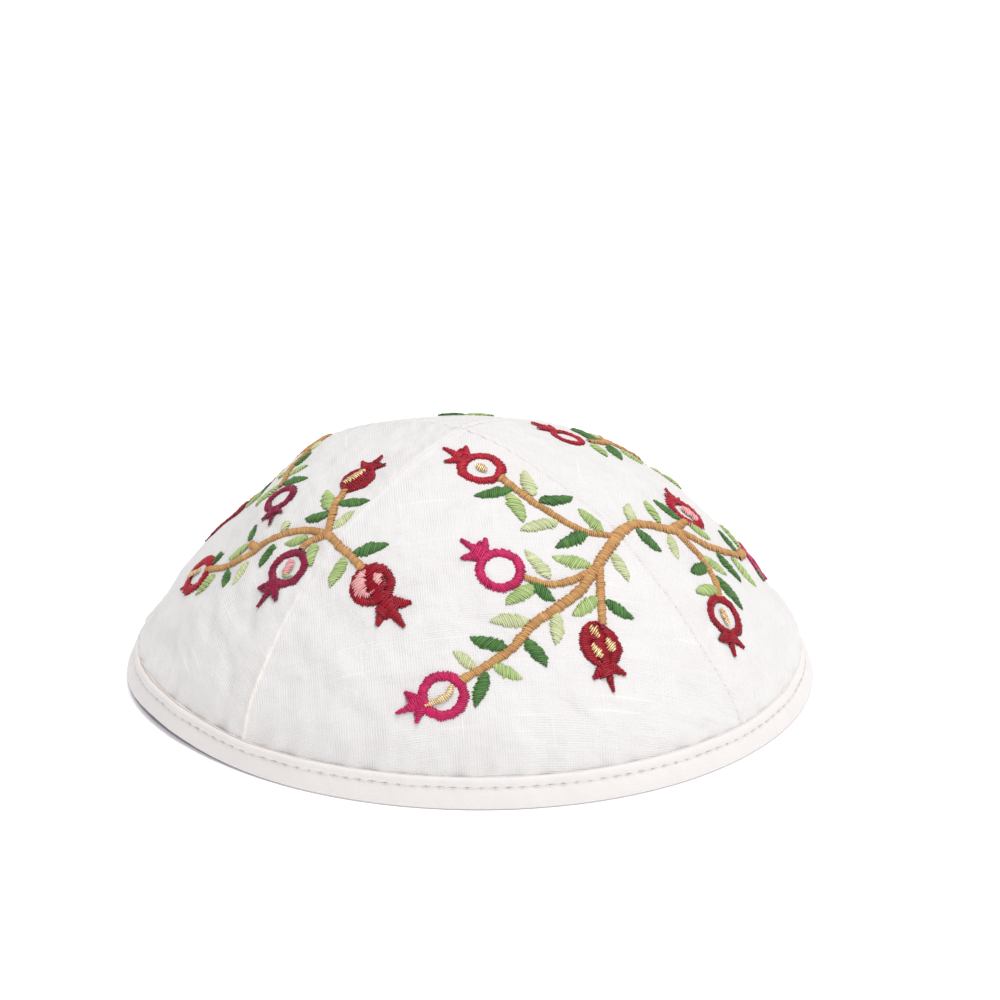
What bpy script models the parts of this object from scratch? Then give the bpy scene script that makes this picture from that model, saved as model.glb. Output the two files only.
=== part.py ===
"""Kippah: four sewn crown panels held in a folded cloth binding that runs round the rim.

Metres, +Z up. The origin is on the surface that the rim stands on, in the middle of the rim.
An azimuth is measured in degrees from the front (-Y) towards the right (+X).
"""

import math

import bmesh
import bpy
from mathutils import Vector

MM = 0.001

# Driving sizes
CROWN_RADIUS = 81.2 * MM       # outside of the crown at its cut lower edge
CROWN_HEIGHT = 61.0 * MM       # the standing surface to the point where the panels meet
LEAN_LEFT = 2.3 * MM           # how far that point lies to the left of the middle of the rim
LEAN_BACK = 3.2 * MM           # and how far behind it
CLOTH_THICKNESS = 1.2 * MM     # one crown panel: face cloth, interlining and backing
BINDING_HEIGHT = 6.8 * MM      # the standing surface to the binding's folded top edge
BINDING_THICKNESS = 1.0 * MM   # one layer of the folded binding
SEW_GAP = 0.3 * MM             # clearance between two pieces that are sewn together
TIP_RADIUS = 0.7 * MM          # where a panel's point stops short of the others
STITCH_DROP = 2.3 * MM         # the binding's stitch line, below its top edge
ROLL_PROUD = 0.35 * MM         # how far the rolled top edge stands out from the binding's face
BELLY_PROUD = 0.15 * MM        # how far the binding swells below its stitch line
FOOT_ROUND = 0.5 * MM          # how far the binding's lower fold turns in before it is flat
RIM_LIFT = 0.8 * MM            # the rim's highest rise off the standing surface
RIM_OVAL = 0.023               # how much longer and shorter the rim's two half axes are, as a share

# Where the rim is long and where it is lifted, in degrees of azimuth
OVAL_AZIMUTH = 73.0            # the long axis of the rim
LIFT_AZIMUTH = -68.0           # the middle of the lifted stretch
LIFT_REACH = 34.0              # from there to where the rim is down again
RIM_FADE = 0.37                # the share of the crown's height over which the rim's shape fades

# How finely the cloth is meshed
PANEL_COLUMNS = 18
PANEL_ROWS = 18
BINDING_STATIONS = 80

# The seams between the panels: a panel runs from its own seam to the next one, to the right
SEAMS = [
    {"azimuth": -42.0, "panel": "crown_panel_front"},
    {"azimuth": 52.0, "panel": "crown_panel_right"},
    {"azimuth": 140.0, "panel": "crown_panel_back"},
    {"azimuth": 229.0, "panel": "crown_panel_left"},
]

# The crown's sections from its lower edge to its point. up is a share of the height above that edge.
# seam and middle are the radius on a seam and halfway between two, as shares of CROWN_RADIUS.
SECTIONS = [
    {"up": 0.000, "seam": 1.000, "middle": 1.000},
    {"up": 0.088, "seam": 0.982, "middle": 0.973},
    {"up": 0.230, "seam": 0.938, "middle": 0.932},
    {"up": 0.392, "seam": 0.846, "middle": 0.844},
    {"up": 0.523, "seam": 0.760, "middle": 0.746},
    {"up": 0.648, "seam": 0.655, "middle": 0.650},
    {"up": 0.757, "seam": 0.560, "middle": 0.550},
    {"up": 0.841, "seam": 0.430, "middle": 0.415},
    {"up": 0.900, "seam": 0.320, "middle": 0.288},
    {"up": 0.950, "seam": 0.208, "middle": 0.172},
    {"up": 0.983, "seam": 0.110, "middle": 0.078},
    {"up": 1.000, "seam": TIP_RADIUS / CROWN_RADIUS, "middle": TIP_RADIUS / CROWN_RADIUS},
]
LAST_SECTION = len(SECTIONS) - 1

# Soft bends of the rim. reach is the half width in degrees. proud is the push at the middle, as a
# share of CROWN_RADIUS, inwards below 0.
RIM_BENDS = [
    {"azimuth": -76.0, "reach": 18.0, "proud": 0.016},
    {"azimuth": -114.0, "reach": 16.0, "proud": -0.010},
    {"azimuth": 112.0, "reach": 22.0, "proud": -0.013},
]

# Dents and swellings of the soft crown. reach and tall are the half widths, in degrees and as a
# share of the height. proud is as above.
DENTS = [
    {"azimuth": -116.0, "up": 0.87, "reach": 36.0, "tall": 0.095, "proud": 0.042},
    {"azimuth": -104.0, "up": 0.60, "reach": 24.0, "tall": 0.120, "proud": -0.028},
    {"azimuth": -62.0, "up": 0.44, "reach": 9.0, "tall": 0.150, "proud": -0.010},
    {"azimuth": -66.0, "up": 0.22, "reach": 10.0, "tall": 0.080, "proud": -0.008},
    {"azimuth": -20.0, "up": 0.27, "reach": 16.0, "tall": 0.055, "proud": -0.007},
    {"azimuth": 66.0, "up": 0.40, "reach": 14.0, "tall": 0.140, "proud": -0.005},
    {"azimuth": 98.0, "up": 0.57, "reach": 26.0, "tall": 0.150, "proud": 0.024},
    {"azimuth": 100.0, "up": 0.26, "reach": 24.0, "tall": 0.090, "proud": -0.010},
    {"azimuth": 122.0, "up": 0.90, "reach": 28.0, "tall": 0.080, "proud": 0.018},
    {"azimuth": 184.0, "up": 0.46, "reach": 24.0, "tall": 0.160, "proud": -0.010},
]
DENT_FREE = 0.12               # the share of the height over which the binding holds the cloth round

CROWN_EDGE = BINDING_THICKNESS + SEW_GAP   # height of the crown's cut edge, over the binding's fold


def smooth(share):
    """0 to 1, starting and ending level."""
    share = min(1.0, max(0.0, share))
    return share * share * (3.0 - 2.0 * share)


def turn_between(azimuth, other):
    """The smallest turn from one azimuth to another, in degrees."""
    return (azimuth - other + 180.0) % 360.0 - 180.0


def section_value(column, station):
    """A column of SECTIONS at a station, 0 being the first row, on a curve through the rows."""
    row = min(int(station), LAST_SECTION - 1)
    here = SECTIONS[row][column]
    after = SECTIONS[row + 1][column]
    before = SECTIONS[row - 1][column] if row > 0 else 2.0 * here - after
    beyond = SECTIONS[row + 2][column] if row + 2 <= LAST_SECTION else 2.0 * after - here
    t = station - row
    return 0.5 * (
        2.0 * here
        + (after - before) * t
        + (2.0 * before - 5.0 * here + 4.0 * after - beyond) * t**2
        + (3.0 * here - before - 3.0 * after + beyond) * t**3
    )


def seam_phase(azimuth):
    """Where an azimuth lies in its panel: -45 on one seam, 0 in the middle, 45 on the other."""
    for index, seam in enumerate(SEAMS):
        following = SEAMS[(index + 1) % len(SEAMS)]
        width = (following["azimuth"] - seam["azimuth"]) % 360.0
        past = (azimuth - seam["azimuth"]) % 360.0
        if past <= width:
            return 90.0 * past / width - 45.0
    return 0.0


def crown_radius(azimuth, station):
    """Outside radius of the crown: the panels lie flatter than the seams between them."""
    seam = section_value("seam", station)
    middle = section_value("middle", station)
    up = section_value("up", station)
    flatness = math.log(seam / middle) / math.log(math.sqrt(2.0))
    share = middle / math.cos(math.radians(seam_phase(azimuth))) ** flatness
    rim = RIM_OVAL * math.cos(math.radians(2.0 * (azimuth - OVAL_AZIMUTH)))
    for bend in RIM_BENDS:
        across = turn_between(azimuth, bend["azimuth"]) / bend["reach"]
        rim += bend["proud"] * math.exp(-across * across)
    share *= 1.0 + rim * (1.0 - smooth(up / RIM_FADE))
    free = smooth(up / DENT_FREE)
    for dent in DENTS:
        across = turn_between(azimuth, dent["azimuth"]) / dent["reach"]
        along = (up - dent["up"]) / dent["tall"]
        share += dent["proud"] * free * math.exp(-across * across - along * along)
    return share * CROWN_RADIUS


def crown_height(azimuth, station):
    """Height of the crown's outside, with the lift of the rim fading towards the point."""
    up = section_value("up", station)
    level = CROWN_EDGE + up * (CROWN_HEIGHT - CROWN_EDGE)
    return level + rim_lift(azimuth) * (1.0 - smooth(up))


def rim_lift(azimuth):
    """How far the rim is off the standing surface."""
    return RIM_LIFT * smooth(1.0 - abs(turn_between(azimuth, LIFT_AZIMUTH)) / LIFT_REACH)


def outward(azimuth, station):
    """The crown's outward direction in the upright plane of one azimuth, as (radius, height)."""
    step = 0.02
    low = max(0.0, station - step)
    high = min(float(LAST_SECTION), station + step)
    run = crown_radius(azimuth, low) - crown_radius(azimuth, high)
    rise = crown_height(azimuth, high) - crown_height(azimuth, low)
    length = math.hypot(run, rise)
    return rise / length, run / length


def offset_point(azimuth, station, distance):
    """(radius, height) of a point that lies a distance outside the crown's outer face."""
    out_radius, out_height = outward(azimuth, station)
    radius = crown_radius(azimuth, station) + distance * out_radius
    return radius, crown_height(azimuth, station) + distance * out_height


def station_at(level):
    """The station at which the crown, with no lift, reaches a height."""
    low, high = 0.0, float(LAST_SECTION)
    goal = (level - CROWN_EDGE) / (CROWN_HEIGHT - CROWN_EDGE)
    for _ in range(40):
        middle = 0.5 * (low + high)
        if section_value("up", middle) < goal:
            low = middle
        else:
            high = middle
    return low


def place(azimuth, radius, height):
    """A point from its azimuth, its height and its distance from the crown's leaning middle."""
    turn = math.radians(azimuth)
    leaning = smooth((height - CROWN_EDGE) / (CROWN_HEIGHT - CROWN_EDGE))
    across = radius * math.sin(turn) - LEAN_LEFT * leaning
    return Vector((across, LEAN_BACK * leaning - radius * math.cos(turn), height))


def cloth_material(name, colour, roughness):
    material = bpy.data.materials.new(name)
    material.use_nodes = True
    shader = material.node_tree.nodes["Principled BSDF"]
    shader.inputs["Base Color"].default_value = (*colour, 1.0)
    shader.inputs["Roughness"].default_value = roughness
    shader.inputs["Metallic"].default_value = 0.0
    return material


def make_object(name, bm, material):
    """Turns a bmesh into a smooth-shaded object, with its faces pointing outwards."""
    bmesh.ops.recalc_face_normals(bm, faces=bm.faces)
    mesh = bpy.data.meshes.new(name)
    bm.to_mesh(mesh)
    bm.free()
    mesh.materials.append(material)
    mesh.shade_smooth()
    mesh.set_sharp_from_angle(angle=math.radians(40.0))
    built = bpy.data.objects.new(name, mesh)
    bpy.context.scene.collection.objects.link(built)
    return built


def panel_wall(azimuth, station):
    """Outer and inner (radius, height) of a panel. Its lower edge is cut level."""
    outer = offset_point(azimuth, station, 0.0)
    if station > 0.0:
        return outer, offset_point(azimuth, station, -CLOTH_THICKNESS)
    out_radius, _ = outward(azimuth, station)
    return outer, (outer[0] - CLOTH_THICKNESS / out_radius, outer[1])


def seam_inset(radius):
    """Degrees that a panel's edge stays back from the seam, for half the gap between two panels."""
    return math.degrees(math.asin(0.5 * SEW_GAP / radius))


def crown_panel(seam, following, material):
    """One panel: an outer and an inner sheet of cloth, joined round their edges."""
    width = (following["azimuth"] - seam["azimuth"]) % 360.0
    bm = bmesh.new()
    outer, inner = [], []
    for row in range(PANEL_ROWS + 1):
        station = LAST_SECTION * row / PANEL_ROWS
        for sheet, side in ((outer, 0), (inner, 1)):
            line = []
            for column in range(PANEL_COLUMNS + 1):
                share = column / PANEL_COLUMNS
                azimuth = seam["azimuth"] + share * width
                radius, height = panel_wall(azimuth, station)[side]
                azimuth += seam_inset(radius) * (1.0 - 2.0 * share)
                line.append(bm.verts.new(place(azimuth, radius, height)))
            sheet.append(line)
    for sheet in (outer, inner):
        for row in range(PANEL_ROWS):
            for column in range(PANEL_COLUMNS):
                bm.faces.new((
                    sheet[row][column],
                    sheet[row][column + 1],
                    sheet[row + 1][column + 1],
                    sheet[row + 1][column],
                ))
    edges = [edge for edge in bm.edges if edge.is_boundary]
    bmesh.ops.bridge_loops(bm, edges=edges)
    return make_object(seam["panel"], bm, material)


def binding_section(azimuth):
    """The folded binding's outline in one upright plane, as (radius, height) points in order."""
    lift = rim_lift(azimuth)
    edge_radius = crown_radius(azimuth, 0.0)
    out_radius, out_height = outward(azimuth, 0.0)
    face = SEW_GAP + BINDING_THICKNESS
    back = -(CLOTH_THICKNESS + SEW_GAP)

    def below_edge(distance, level):
        """A point under the crown's edge, on the line of a face of the binding."""
        run = (CROWN_EDGE - level) * out_height + distance
        return edge_radius + run / out_radius, lift + level

    top = station_at(BINDING_HEIGHT)
    stitch = station_at(BINDING_HEIGHT - STITCH_DROP)
    roll = station_at(BINDING_HEIGHT - 0.45 * STITCH_DROP)
    return [
        below_edge(back - BINDING_THICKNESS + FOOT_ROUND, 0.0),
        below_edge(face - FOOT_ROUND, 0.0),
        below_edge(face, FOOT_ROUND),
        offset_point(azimuth, 0.5 * stitch, face + BELLY_PROUD),
        offset_point(azimuth, stitch, face),
        offset_point(azimuth, roll, face + ROLL_PROUD),
        offset_point(azimuth, top, face),
        offset_point(azimuth, top, SEW_GAP),
        offset_point(azimuth, 0.5 * top, SEW_GAP),
        below_edge(SEW_GAP, BINDING_THICKNESS),
        below_edge(back, BINDING_THICKNESS),
        offset_point(azimuth, 0.5 * top, back),
        offset_point(azimuth, top, back),
        offset_point(azimuth, top, back - BINDING_THICKNESS),
        offset_point(azimuth, 0.5 * top, back - BINDING_THICKNESS),
        below_edge(back - BINDING_THICKNESS, FOOT_ROUND),
    ]


def rim_binding(material):
    """The binding: one strip folded over the crown's edge, closed on itself round the rim."""
    bm = bmesh.new()
    rings = []
    for station in range(BINDING_STATIONS):
        azimuth = 360.0 * station / BINDING_STATIONS
        rings.append([
            bm.verts.new(place(azimuth, radius, height))
            for radius, height in binding_section(azimuth)
        ])
    for ring, following in zip(rings, rings[1:] + rings[:1]):
        for point in range(len(ring)):
            beside = (point + 1) % len(ring)
            bm.faces.new((ring[point], following[point], following[beside], ring[beside]))
    return make_object("rim_binding", bm, material)


def main():
    for old in list(bpy.data.objects):
        bpy.data.objects.remove(old)
    silk = cloth_material("white_silk", (0.86, 0.85, 0.83), 0.62)
    tape = cloth_material("cream_tape", (0.88, 0.86, 0.81), 0.70)
    for seam, following in zip(SEAMS, SEAMS[1:] + SEAMS[:1]):
        crown_panel(seam, following, silk)
    rim_binding(tape)


main()
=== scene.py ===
import math

import bpy
import numpy as np
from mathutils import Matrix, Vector
from mathutils.bvhtree import BVHTree


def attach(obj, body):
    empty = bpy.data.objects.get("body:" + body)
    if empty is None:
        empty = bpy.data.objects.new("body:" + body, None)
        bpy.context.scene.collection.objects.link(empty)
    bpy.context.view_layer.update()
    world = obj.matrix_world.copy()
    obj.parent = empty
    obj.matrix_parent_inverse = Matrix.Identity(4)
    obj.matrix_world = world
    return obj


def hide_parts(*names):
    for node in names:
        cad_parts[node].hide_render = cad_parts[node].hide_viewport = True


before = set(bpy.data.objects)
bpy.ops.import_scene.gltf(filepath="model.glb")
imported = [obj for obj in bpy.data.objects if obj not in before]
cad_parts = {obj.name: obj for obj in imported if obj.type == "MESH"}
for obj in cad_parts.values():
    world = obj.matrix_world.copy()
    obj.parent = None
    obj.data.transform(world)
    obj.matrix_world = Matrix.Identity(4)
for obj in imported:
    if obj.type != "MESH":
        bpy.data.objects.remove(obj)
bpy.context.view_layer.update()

# The view: the kippah stands on its rim and is seen from the front, a little from above, through a
# long lens. The four values were worked out from the outline of the rim and crown.
MM = 0.001
VIEW_ABOVE = math.radians(22.07)
VIEW_DISTANCE = 900.0 * MM
VIEW_AIM = Vector((6.9, 3.2, 42.1)) * MM
LENS_MM = 132.35
SENSOR_MM = 36.0
PHOTO_SIDE = 1000.0

VIEW_LINE = Vector((0.0, math.cos(VIEW_ABOVE), -math.sin(VIEW_ABOVE)))
VIEW_UP = Vector((0.0, math.sin(VIEW_ABOVE), math.cos(VIEW_ABOVE)))


def put(name, data):
    """An object made of some data, put in the scene."""
    thing = bpy.data.objects.new(name, data)
    bpy.context.scene.collection.objects.link(thing)
    return thing


camera_data = bpy.data.cameras.new("camera")
camera_data.lens = LENS_MM
camera_data.sensor_width = SENSOR_MM
camera = put("camera", camera_data)
camera.location = VIEW_AIM - VIEW_LINE * VIEW_DISTANCE
camera.rotation_euler = (math.pi / 2.0 - VIEW_ABOVE, 0.0, 0.0)
bpy.context.scene.camera = camera


# The nodes of a finish or of a row of stitches are put on a board by one method, and a wire is one
# output of a node, which takes part in sums such as 1 - mask.
def pick(sockets, name):
    """A node's socket by its name, or by its number, among those that its settings leave in use."""
    used = [socket for socket in sockets if socket.enabled]
    if isinstance(name, int):
        return used[name]
    return next(socket for socket in used if socket.name == name)


def sum_method(operation, turned=False):
    """A method that puts the sum of a wire and a value on its board, turned round or not."""
    def method(wire, other):
        first, second = (other, wire) if turned else (wire, other)
        return wire.board.add("ShaderNodeMath", {0: first, 1: second}, operation=operation)
    return method


class Wire:
    __add__, __radd__ = sum_method("ADD"), sum_method("ADD", turned=True)
    __sub__, __rsub__ = sum_method("SUBTRACT"), sum_method("SUBTRACT", turned=True)
    __mul__, __rmul__ = sum_method("MULTIPLY"), sum_method("MULTIPLY", turned=True)
    __pow__ = sum_method("POWER")

    def __init__(self, board, socket):
        self.board = board
        self.socket = socket


class Board:
    def __init__(self, tree):
        self.tree = tree

    def add(self, kind, values=(), out=0, **settings):
        """Adds a node: its settings first, then its sockets' values or wires. Gives one output."""
        node = self.tree.nodes.new(kind)
        for name, value in settings.items():
            setattr(node, name, value)
        for name, value in dict(values).items():
            self.feed(pick(node.inputs, name), value)
        return Wire(self, pick(node.outputs, out)) if len(node.outputs) else None

    def feed(self, socket, value):
        if isinstance(value, Wire):
            self.tree.links.new(value.socket, socket)
        else:
            socket.default_value = (*value, 1.0) if socket.type == "RGBA" else value

    def one(self, operation, value):
        """A sum of one value, such as its SINE, ABSOLUTE or FRACT."""
        return self.add("ShaderNodeMath", {0: value}, operation=operation)

    def axis(self, vector, name):
        return self.add("ShaderNodeSeparateXYZ", {0: vector}, name)

    def fact(self, name):
        """A number that each point of a piece carries."""
        return self.add("ShaderNodeAttribute", {}, "Fac", attribute_name=name)

    def place(self):
        return self.add("ShaderNodeTexCoord", {}, "Object")

    def ramp(self, value, start, end):
        """0 up to start, 1 from end on, and a smooth change between them."""
        limits = {"Value": value, "From Min": start, "From Max": end}
        return self.add("ShaderNodeMapRange", limits, interpolation_type="SMOOTHSTEP")

    def stretched(self, where, scale):
        """Coordinates that are stretched, so that a pattern on them is drawn out one way."""
        return self.add("ShaderNodeMapping", {"Vector": where, "Scale": scale})

    def noise(self, where, scale, detail=2.0):
        return self.add("ShaderNodeTexNoise", {"Vector": where, "Scale": scale, "Detail": detail})

    def blend(self, share, first, second):
        """A mix of two colours."""
        mix = {"Factor": share, "A": first, "B": second}
        return self.add("ShaderNodeMix", mix, data_type="RGBA")


class Finish(Board):
    """One material, with the board that paints its Principled shader."""

    def __init__(self, name, **constants):
        self.material = bpy.data.materials.new(name)
        self.material.use_nodes = True
        super().__init__(self.material.node_tree)
        self.shader = self.tree.nodes["Principled BSDF"]
        for socket, value in constants.items():
            self.shader.inputs[socket.replace("_", " ")].default_value = value

    def paint(self, colour, roughness, height=None, depth=0.0):
        """Wires up the colour, the roughness and, as a bump of some depth, the height."""
        self.feed(self.shader.inputs["Base Color"], colour)
        self.feed(self.shader.inputs["Roughness"], roughness)
        if height is not None:
            bump = self.add("ShaderNodeBump", {"Distance": depth, "Height": height})
            self.feed(self.shader.inputs["Normal"], bump)


# The studio: a plain white sheet of card under the kippah, a white room, a soft lamp in front on the
# right and a big one overhead. The card glows a little, so that it stays plain white.
FLOOR_SIDE = 6.0
ROOM_LIGHT = 0.57
LAMPS = [
    {"name": "key", "from": (0.85, -1.05, 1.15), "side": 0.60, "power": 6.2},
    {"name": "top", "from": (0.20, 0.10, 1.80), "side": 1.20, "power": 17.6},
]

card = Finish("white_card", Specular_IOR_Level=0.1, Emission_Strength=0.27)
card_grain = card.noise(card.place(), 900.0)
card.paint(card.blend(card_grain, (0.93, 0.93, 0.93), (0.96, 0.96, 0.96)), 0.9)
card.feed(card.shader.inputs["Emission Color"], (1.0, 1.0, 1.0))

floor_mesh = bpy.data.meshes.new("floor")
half = FLOOR_SIDE / 2.0
floor_mesh.from_pydata(
    [(-half, -half, 0.0), (half, -half, 0.0), (half, half, 0.0), (-half, half, 0.0)],
    [],
    [(0, 1, 2, 3)],
)
floor_mesh.materials.append(card.material)
floor = put("floor", floor_mesh)

for lamp in LAMPS:
    light = bpy.data.lights.new(lamp["name"], "AREA")
    light.shape = "DISK"
    light.size = lamp["side"]
    light.energy = lamp["power"]
    stand = put(lamp["name"], light)
    stand.location = lamp["from"]
    stand.rotation_euler = (VIEW_AIM - stand.location).to_track_quat("-Z", "Y").to_euler()

room = bpy.data.worlds.new("room")
room.use_nodes = True
room.node_tree.nodes["Background"].inputs["Color"].default_value = (1.0, 0.985, 0.99, 1.0)
room.node_tree.nodes["Background"].inputs["Strength"].default_value = ROOM_LIGHT
bpy.context.scene.world = room
bpy.context.scene.view_settings.view_transform = "Standard"

# The crown: four panels of slubbed white silk, cut as gores, backed and sewn edge to edge, so the
# cloth lies flatter in a panel than at its seams. Its form is that of the solids under it.
CROWN_RADIUS = 81.2 * MM
CROWN_HEIGHT = 61.0 * MM
CROWN_EDGE = 1.3 * MM          # height of the crown's cut edge, inside the binding
CLOTH_THICKNESS = 1.2 * MM
LEAN_LEFT = 2.3 * MM
LEAN_BACK = 3.2 * MM
TIP_RADIUS = 0.05 * MM
RIM_LIFT = 0.8 * MM
RIM_OVAL = 0.023
RIM_FADE = 0.37
OVAL_AZIMUTH = 73.0
LIFT_AZIMUTH = -68.0
LIFT_REACH = 34.0
DENT_FREE = 0.12
PANEL_COLUMNS = 132
PANEL_ROWS = 124
SHARP_EDGE = 50.0              # degrees between faces from which an edge is drawn sharp


def table(columns, *rows):
    """The rows of a table, each a dict from the names of its columns to its values."""
    return [dict(zip(columns.split(), row)) for row in rows]


# Each panel runs from its seam to the next one on its right. rise is how far the cloth stands out on
# the seam itself, inwards below 0: the seam on the left stands as a rib and the others are furrows.
SEAMS = [
    {"azimuth": -42.0, "panel": "crown_panel_front", "rise": 0.50 * MM},
    {"azimuth": 52.0, "panel": "crown_panel_right", "rise": -0.26 * MM},
    {"azimuth": 140.0, "panel": "crown_panel_back", "rise": -0.22 * MM},
    {"azimuth": 229.0, "panel": "crown_panel_left", "rise": -0.26 * MM},
]

# Rows from the crown's edge to its point. up is a share of the height above the edge, and seam and
# middle are radii on a seam and halfway between two, as shares of CROWN_RADIUS.
SECTIONS = table(
    "up seam middle",
    (0.000, 1.000, 1.000), (0.088, 0.982, 0.973), (0.230, 0.938, 0.932),
    (0.392, 0.846, 0.844), (0.523, 0.760, 0.746), (0.648, 0.655, 0.650),
    (0.757, 0.560, 0.550), (0.841, 0.430, 0.415), (0.900, 0.320, 0.288),
    (0.950, 0.208, 0.172), (0.983, 0.110, 0.078),
    (1.000, TIP_RADIUS / CROWN_RADIUS, TIP_RADIUS / CROWN_RADIUS),
)
LAST_SECTION = len(SECTIONS) - 1

# Soft bends of the rim, and dents and swellings of the crown. reach and tall are half widths, in
# degrees and as a share of the height, and proud is a push out as a share of CROWN_RADIUS.
RIM_BENDS = table(
    "azimuth reach proud",
    (-76.0, 18.0, 0.016), (-114.0, 16.0, -0.010), (112.0, 22.0, -0.013),
)
DENTS = table(
    "azimuth up reach tall proud",
    (-116.0, 0.87, 36.0, 0.095, 0.042), (-104.0, 0.60, 24.0, 0.120, -0.028),
    (-62.0, 0.44, 9.0, 0.150, -0.010), (-66.0, 0.22, 10.0, 0.080, -0.008),
    (-20.0, 0.27, 16.0, 0.055, -0.007), (66.0, 0.40, 14.0, 0.140, -0.005),
    (98.0, 0.57, 26.0, 0.150, 0.024), (100.0, 0.26, 24.0, 0.090, -0.010),
    (122.0, 0.90, 28.0, 0.080, 0.018), (184.0, 0.46, 24.0, 0.160, -0.010),
)

# Where the cloth bags out over the binding at the two sides, out being how far in mm. The bags start
# under the binding's upper fold, at BAG_START, and are full a little above it.
BAG_START = 0.045
BAG_RISE = 0.055
BAGS = table(
    "azimuth up reach tall out",
    (97.0, 0.11, 25.0, 0.10, 1.9), (-93.0, 0.085, 24.0, 0.06, 1.7),
)

# Creases of the soft cloth, each a valley (deep above 0) or a fold (below 0) along a straight line
# from one place to another, given as (azimuth, share of the height), wide and deep being in mm.
CREASES = table(
    "start end wide deep",
    ((-34.0, 0.33), (-8.0, 0.39), 1.8, 0.42), ((-32.0, 0.43), (-22.0, 0.38), 2.2, -0.50),
    ((-34.0, 0.55), (-20.0, 0.50), 2.4, 0.35), ((-57.0, 0.52), (-49.0, 0.40), 2.6, 0.75),
    ((-54.0, 0.34), (-47.0, 0.24), 2.2, 0.60), ((-62.0, 0.44), (-57.0, 0.30), 2.4, -0.50),
    ((-72.0, 0.34), (-66.0, 0.18), 2.6, 0.45), ((-90.0, 0.40), (-80.0, 0.26), 2.2, 0.40),
    ((1.5, 0.20), (3.5, 0.09), 1.2, 0.50), ((13.5, 0.20), (15.5, 0.10), 1.1, 0.34),
    ((-6.5, 0.15), (-4.0, 0.08), 1.1, 0.34), ((-94.0, 0.86), (-66.0, 0.83), 2.4, 0.40),
    ((-96.0, 0.80), (-70.0, 0.78), 2.2, -0.30), ((-30.0, 0.68), (-12.0, 0.60), 2.4, 0.35),
    ((36.0, 0.46), (47.0, 0.28), 3.2, 0.30), ((60.0, 0.34), (78.0, 0.26), 3.0, 0.25),
    ((120.0, 0.40), (146.0, 0.30), 3.0, 0.35), ((168.0, 0.60), (196.0, 0.52), 3.4, 0.35),
    ((214.0, 0.24), (236.0, 0.30), 2.8, 0.35),
)
SEAM_WIDE = 0.42 * MM
RIB_WIDE = 0.70 * MM
RIB_HIGHLIGHT_WIDE = 0.62 * MM     # the band on the rib that carries a painted highlight
RIB_FADE_FROM = 0.35           # shares of the height
RIB_FADE = 0.40
SEAM_LIP = 0.20 * MM           # the swelling of the allowances beside a seam
SEAM_LIP_OFF = 1.3 * MM
SEAM_LIP_WIDE = 0.8 * MM
SEAM_PUCKER = 0.10 * MM
SEAM_PUCKER_WIDE = 6.0 * MM
BAND_PUCKER = 0.16 * MM
BAND_PUCKER_WIDE = 5.0 * MM
BAND_LINE = 0.10               # share of the height where the cloth leaves the binding
RIPPLE = 0.16 * MM
RIPPLE_CALM = 0.70             # the ripples are weaker above this share of the height
RIPPLE_LEFT = {"azimuth": -72.0, "reach": 26.0, "more": 2.0}


def smooth(share):
    """0 to 1, starting and ending level."""
    share = np.clip(share, 0.0, 1.0)
    return share * share * (3.0 - 2.0 * share)


def turn_between(azimuth, other):
    """The smallest turn from one azimuth to another, in degrees."""
    return (azimuth - other + 180.0) % 360.0 - 180.0


def hump_at(azimuth, row, up=0.0):
    """1 in the middle of a bend, dent or bag, and fading out round it."""
    across = turn_between(azimuth, row["azimuth"]) / row["reach"]
    along = (up - row["up"]) / row["tall"] if "up" in row else 0.0
    return np.exp(-across * across - along * along)


def curve(before, here, after, beyond, t):
    """A smooth curve from here to after, at a share t of the way."""
    return 0.5 * (
        2.0 * here
        + (after - before) * t
        + (2.0 * before - 5.0 * here + 4.0 * after - beyond) * t**2
        + (3.0 * here - before - 3.0 * after + beyond) * t**3
    )


def column_of(name):
    """A column of SECTIONS, with one more row at each end that carries its slope on."""
    rows = [section[name] for section in SECTIONS]
    return np.array([2.0 * rows[0] - rows[1], *rows, 2.0 * rows[-1] - rows[-2]])


COLUMNS = {name: column_of(name) for name in ("up", "seam", "middle")}


def section_value(name, station):
    """A column of SECTIONS at stations, 0 being its first row, on a curve through the rows."""
    column = COLUMNS[name]
    station = np.clip(station, 0.0, LAST_SECTION)
    row = np.minimum(station.astype(int), LAST_SECTION - 1)
    before, here, after, beyond = (column[row + step] for step in range(4))
    return curve(before, here, after, beyond, station - row)


def seam_phase(azimuth):
    """Where an azimuth lies in its panel: -45 on one seam, 0 in the middle, 45 on the other."""
    phase = np.zeros_like(azimuth)
    for seam, following in zip(SEAMS, SEAMS[1:] + SEAMS[:1]):
        width = (following["azimuth"] - seam["azimuth"]) % 360.0
        past = (azimuth - seam["azimuth"]) % 360.0
        phase = np.where(past <= width, 90.0 * past / width - 45.0, phase)
    return phase


def rim_lift(azimuth):
    return RIM_LIFT * smooth(1.0 - np.abs(turn_between(azimuth, LIFT_AZIMUTH)) / LIFT_REACH)


def crown_radius(azimuth, station):
    seam = section_value("seam", station)
    middle = section_value("middle", station)
    up = section_value("up", station)
    flatness = np.log(seam / middle) / math.log(math.sqrt(2.0))
    share = middle / np.cos(np.radians(seam_phase(azimuth))) ** flatness
    rim = RIM_OVAL * np.cos(np.radians(2.0 * (azimuth - OVAL_AZIMUTH)))
    for bend in RIM_BENDS:
        rim = rim + bend["proud"] * hump_at(azimuth, bend)
    share = share * (1.0 + rim * (1.0 - smooth(up / RIM_FADE)))
    free = smooth(up / DENT_FREE)
    for dent in DENTS:
        share = share + dent["proud"] * free * hump_at(azimuth, dent, up)
    return np.abs(share) * CROWN_RADIUS


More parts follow.
